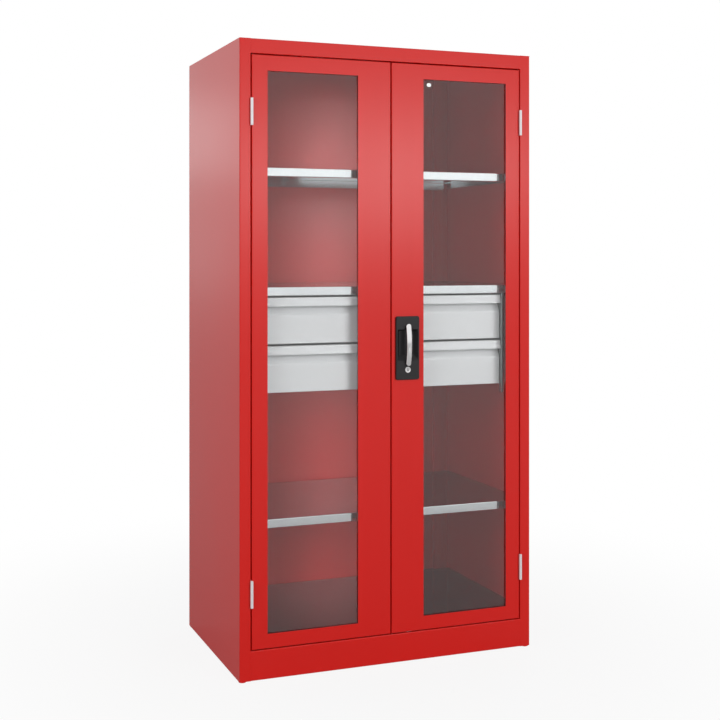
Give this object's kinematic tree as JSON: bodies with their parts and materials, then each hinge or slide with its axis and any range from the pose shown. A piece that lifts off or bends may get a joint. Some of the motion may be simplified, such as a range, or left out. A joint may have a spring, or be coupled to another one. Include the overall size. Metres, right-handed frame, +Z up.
{
  "type": "heavy-duty cabinet",
  "caption": "Free-standing steel cabinet with glazed hinged doors, a dished lever handle, galvanised shelves and full-width drawers behind the doors.",
  "frame": {"origin": "on the ground under the middle of the cabinet's box", "axes": "+Z up, the doors face -Y, +X to the right as seen from the front"},
  "size_m": [1, 0.6234, 1.95],
  "materials": {
    "red_paint": "semi-gloss powder coat",
    "galvanised": "bright galvanised sheet",
    "grey_paint": "light grey powder coat",
    "zinc": "zinc-plated steel",
    "satin_chrome": "satin chrome",
    "black_plastic": "fine-grained moulding",
    "clear_pane": "clear acrylic sheet",
    "gasket": "matt extruded profile"
  },
  "bodies": {
    "carcass": {"left_side_panel": "red_paint", "right_side_panel": "red_paint", "back_panel": "red_paint", "top_panel": "red_paint", "plinth_panel": "red_paint", "floor_panel": "galvanised", "corner_gussets": "red_paint", "feet": "red_paint", "front_shelf_strips": "red_paint", "rear_uprights": "red_paint", "shelf_rails": "galvanised", "upper_shelf": "galvanised", "middle_shelf": "galvanised", "lower_shelf": "galvanised", "left_drawer_carrier": "grey_paint", "right_drawer_carrier": "grey_paint", "carrier_brackets": "galvanised", "runner_cabinet_members": "zinc", "hinge_pins": "zinc", "left_hinge_frame_knuckles": "zinc", "right_hinge_frame_knuckles": "zinc"},
    "left_door": {"left_door_panel": "red_paint", "left_window_gasket": "gasket", "left_window_pane": "clear_pane", "left_window_retainer": "galvanised", "left_window_fixings": "zinc", "left_door_stiffener": "red_paint", "left_hinge_door_knuckles": "zinc"},
    "right_door": {"right_door_panel": "red_paint", "right_window_gasket": "gasket", "right_window_pane": "clear_pane", "right_window_retainer": "galvanised", "right_window_fixings": "zinc", "right_hinge_door_knuckles": "zinc", "handle_dish": "black_plastic", "dish_screws": "zinc", "lock_case": "galvanised", "lock_cylinder": "satin_chrome", "rod_guides": "black_plastic"},
    "lever": {"lever_bow": "satin_chrome", "lever_spindle": "galvanised", "lever_cam": "galvanised"},
    "upper_rod": {"upper_lock_rod": "galvanised"},
    "lower_rod": {"lower_lock_rod": "galvanised"},
    "plug": {"lock_plug": "satin_chrome", "lock_tongue": "galvanised"},
    "upper_drawer": {"upper_drawer_front": "grey_paint", "upper_drawer_tray": "grey_paint", "upper_runner_drawer_members": "zinc"},
    "lower_drawer": {"lower_drawer_front": "grey_paint", "lower_drawer_tray": "grey_paint", "lower_runner_drawer_members": "zinc"},
    "upper_runner": {"upper_runner_middle_members": "zinc"},
    "lower_runner": {"lower_runner_middle_members": "zinc"}
  },
  "joints": [
    {"name": "left_door_swing", "type": "hinge", "parent": "carcass", "child": "left_door", "pos_m": [-0.46275, -0.29425, 1], "axis": [0, 0, -1], "range_deg": [0, 180]},
    {"name": "right_door_swing", "type": "hinge", "parent": "carcass", "child": "right_door", "pos_m": [0.46275, -0.29425, 1], "axis": [0, 0, 1], "range_deg": [0, 180]},
    {"name": "lever_turn", "type": "hinge", "parent": "right_door", "child": "lever", "pos_m": [0.055, -0.28825, 1.066], "axis": [0, -1, 0], "range_deg": [0, 90]},
    {"name": "upper_rod_slide", "type": "slide", "parent": "right_door", "child": "upper_rod", "axis": [0, 0, -1], "range_m": [0, 0.0181]},
    {"name": "lower_rod_slide", "type": "slide", "parent": "right_door", "child": "lower_rod", "axis": [0, 0, 1], "range_m": [0, 0.0181]},
    {"name": "key_turn", "type": "hinge", "parent": "right_door", "child": "plug", "pos_m": [0.055, -0.28825, 0.929], "axis": [0, -1, 0], "range_deg": [0, 90]},
    {"name": "upper_drawer_slide", "type": "slide", "parent": "carcass", "child": "upper_drawer", "axis": [0, -1, 0], "range_m": [0, 0.43]},
    {"name": "lower_drawer_slide", "type": "slide", "parent": "carcass", "child": "lower_drawer", "axis": [0, -1, 0], "range_m": [0, 0.43]},
    {"name": "upper_runner_slide", "type": "slide", "parent": "carcass", "child": "upper_runner", "axis": [0, -1, 0], "range_m": [0, 0.215]},
    {"name": "lower_runner_slide", "type": "slide", "parent": "carcass", "child": "lower_runner", "axis": [0, -1, 0], "range_m": [0, 0.215]}
  ],
  "couplings": [
    {"joint": "right_door_swing", "follows": "left_door_swing", "ratio": 1},
    {"joint": "upper_drawer_slide", "follows": "left_door_swing", "m_per_rad": 0.060479},
    {"joint": "lower_drawer_slide", "follows": "left_door_swing", "m_per_rad": 0.060479},
    {"joint": "upper_runner_slide", "follows": "left_door_swing", "m_per_rad": 0.030239},
    {"joint": "lower_runner_slide", "follows": "left_door_swing", "m_per_rad": 0.030239},
    {"joint": "upper_rod_slide", "follows": "lever_turn", "m_per_rad": 0.011459},
    {"joint": "lower_rod_slide", "follows": "lever_turn", "m_per_rad": 0.011459}
  ]
}
